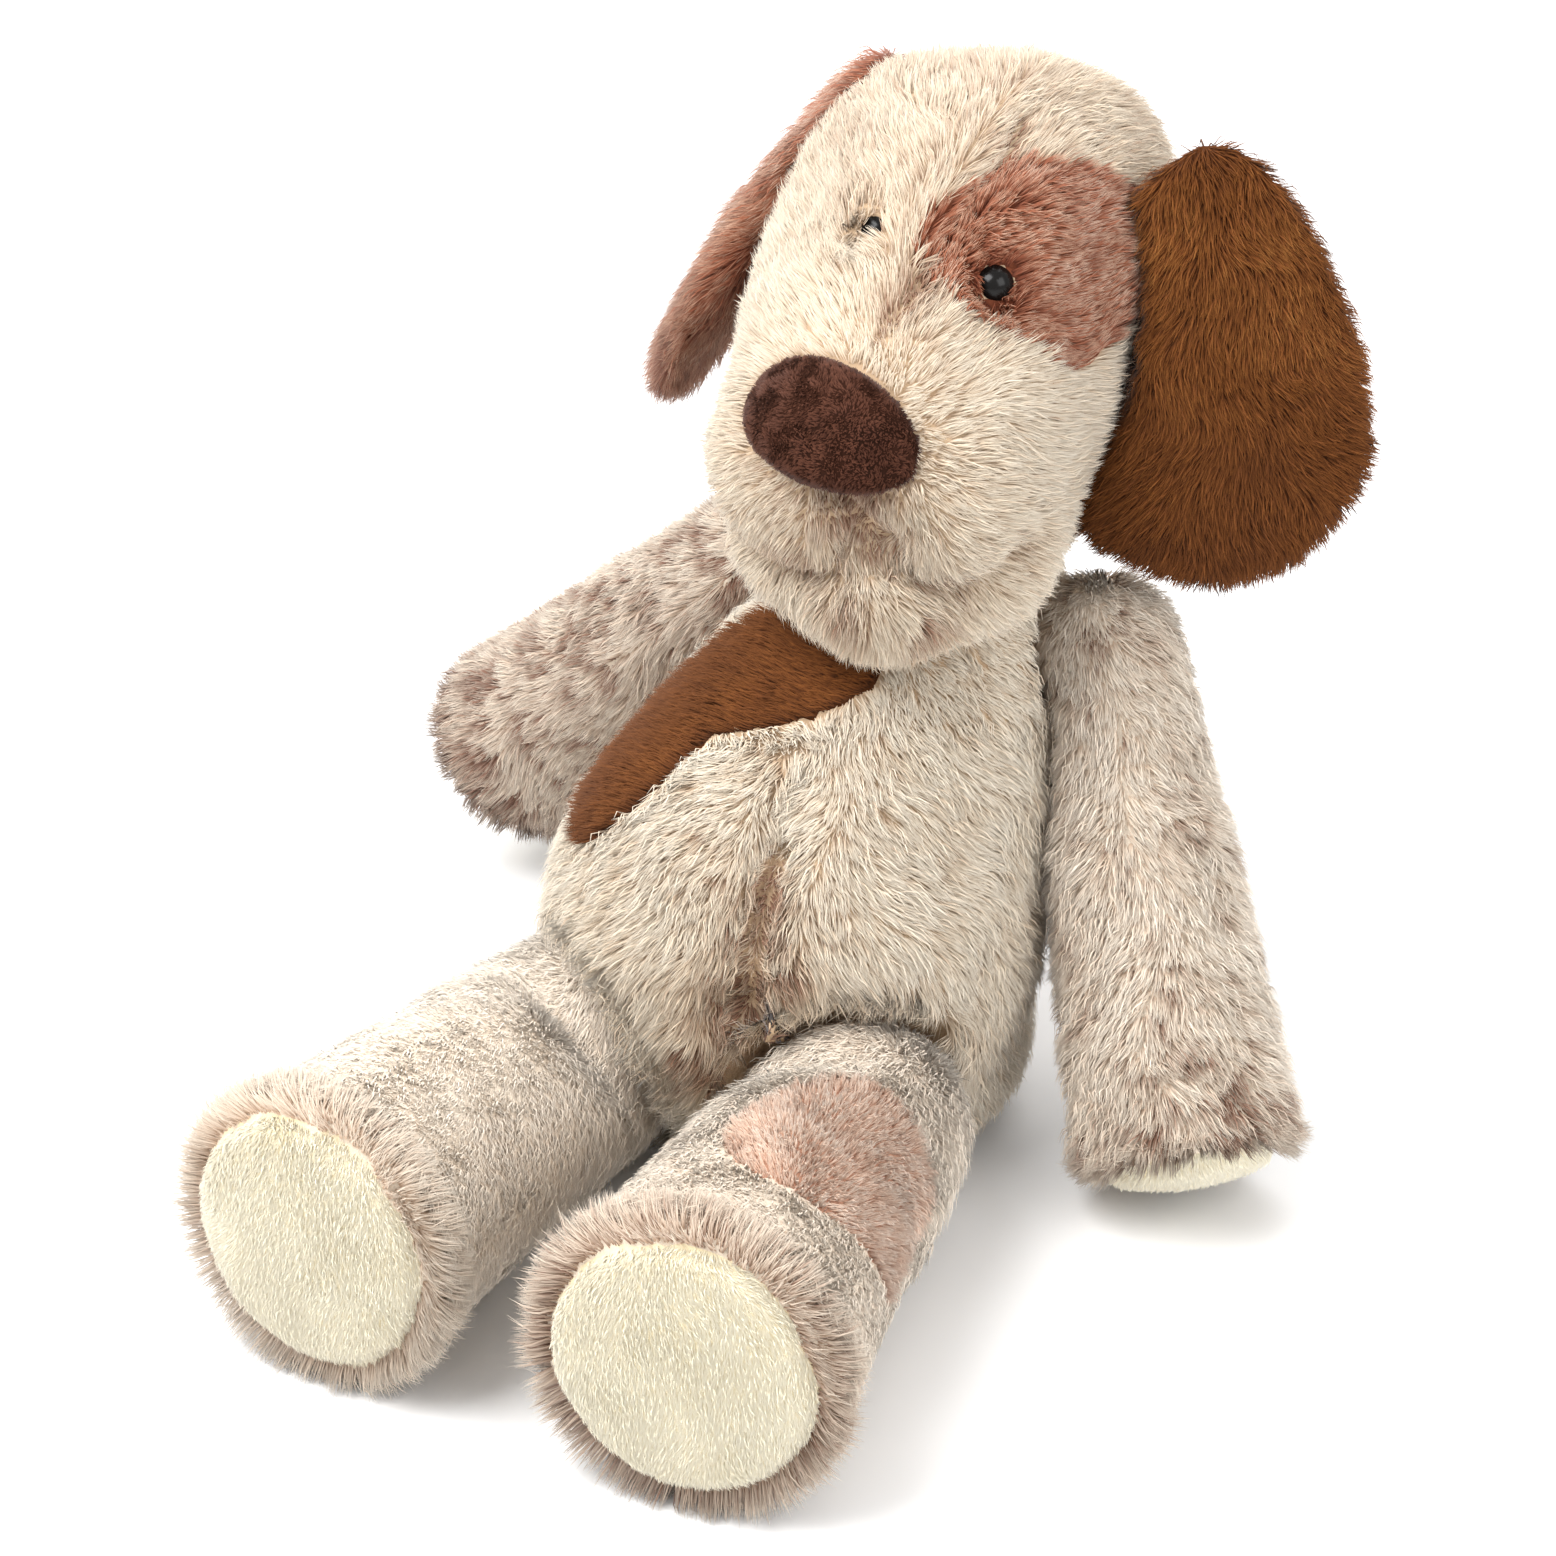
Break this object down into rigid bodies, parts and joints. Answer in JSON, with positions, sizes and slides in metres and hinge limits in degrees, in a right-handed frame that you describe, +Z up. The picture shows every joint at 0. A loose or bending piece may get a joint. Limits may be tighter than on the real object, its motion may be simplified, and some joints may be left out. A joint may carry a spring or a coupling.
{
  "type": "sitting plush dog",
  "caption": "Soft stuffed dog in long-pile fabric, sitting with legs forward; padded nose, bead eyes, floppy ears and short-pile paw pads.",
  "frame": {"origin": "centre of the flat seat, on the floor", "axes": "+Z up, -Y the way the dog looks, +X the left side of the dog"},
  "size_m": [0.2677, 0.2657, 0.2465],
  "materials": {
    "body_pile": "matte",
    "limb_pile": "matte",
    "caramel_pile": "matte",
    "rust_pile": "matte",
    "pink_short_pile": "matte",
    "cream_pad": "matte",
    "nose_fleece": "matte",
    "thread": "matte",
    "eye_bead": "gloss",
    "washer_plastic": "matte",
    "fibre_fill": "matte",
    "pellets": "matte"
  },
  "bodies": {
    "torso": {"torso_cover": "body_pile", "chest_patch": "caramel_pile", "torso_stuffing": "fibre_fill", "seat_pellet_bag": "pellets"},
    "head": {"head_cover": "body_pile", "head_stuffing": "fibre_fill", "eye_patch": "rust_pile", "nose": "nose_fleece", "mouth_seam": "thread", "left_eye": "eye_bead", "right_eye": "eye_bead", "left_eye_washer": "washer_plastic", "right_eye_washer": "washer_plastic"},
    "left_ear": {"left_ear_front": "caramel_pile", "left_ear_back": "caramel_pile"},
    "right_ear": {"right_ear_front": "rust_pile", "right_ear_back": "rust_pile"},
    "left_arm": {"left_arm_cover": "limb_pile", "left_arm_stuffing": "fibre_fill", "left_paw_pad": "cream_pad"},
    "right_arm": {"right_arm_cover": "limb_pile", "right_arm_stuffing": "fibre_fill", "right_paw_pad": "cream_pad"},
    "left_leg": {"left_leg_cover": "limb_pile", "left_leg_patch": "pink_short_pile", "left_leg_stuffing": "fibre_fill", "left_foot_pellets": "pellets", "left_sole_pad": "cream_pad"},
    "right_leg": {"right_leg_cover": "limb_pile", "right_leg_stuffing": "fibre_fill", "right_foot_pellets": "pellets", "right_sole_pad": "cream_pad"},
    "tail": {"tail_cover": "caramel_pile", "tail_stuffing": "fibre_fill"}
  },
  "joints": [
    {"name": "neck_nod", "type": "hinge", "parent": "torso", "child": "head", "pos_m": [0.013, 0.053, 0.112], "axis": [1, 0, 0], "range_deg": [-8, 12]},
    {"name": "left_ear_flap", "type": "hinge", "parent": "head", "child": "left_ear", "pos_m": [0.06897, 0.07715, 0.23393], "axis": [-0.9347, -0.3518, -0.0512], "range_deg": [0, 40]},
    {"name": "right_ear_flap", "type": "hinge", "parent": "head", "child": "right_ear", "pos_m": [-0.01948, 0.08748, 0.23609], "axis": [-0.1288, 0.9917, 0], "range_deg": [0, 30]},
    {"name": "left_shoulder_lift", "type": "hinge", "parent": "torso", "child": "left_arm", "pos_m": [0.054, 0.062, 0.115], "axis": [-0.7316, -0.6817, 0], "range_deg": [0, 40]},
    {"name": "right_shoulder_lift", "type": "hinge", "parent": "torso", "child": "right_arm", "pos_m": [-0.037, 0.067, 0.115], "axis": [0.1961, 0.9806, 0], "range_deg": [0, 40]},
    {"name": "left_hip_lift", "type": "hinge", "parent": "torso", "child": "left_leg", "pos_m": [0.038, -0.035, 0.03], "axis": [-1, 0, 0], "range_deg": [0, 30]},
    {"name": "right_hip_lift", "type": "hinge", "parent": "torso", "child": "right_leg", "pos_m": [-0.035, -0.034, 0.03], "axis": [-1, 0, 0], "range_deg": [0, 30]},
    {"name": "tail_wag", "type": "hinge", "parent": "torso", "child": "tail", "pos_m": [-0.004, 0.067, 0.033], "axis": [0, 0, 1], "range_deg": [-20, 20]}
  ]
}
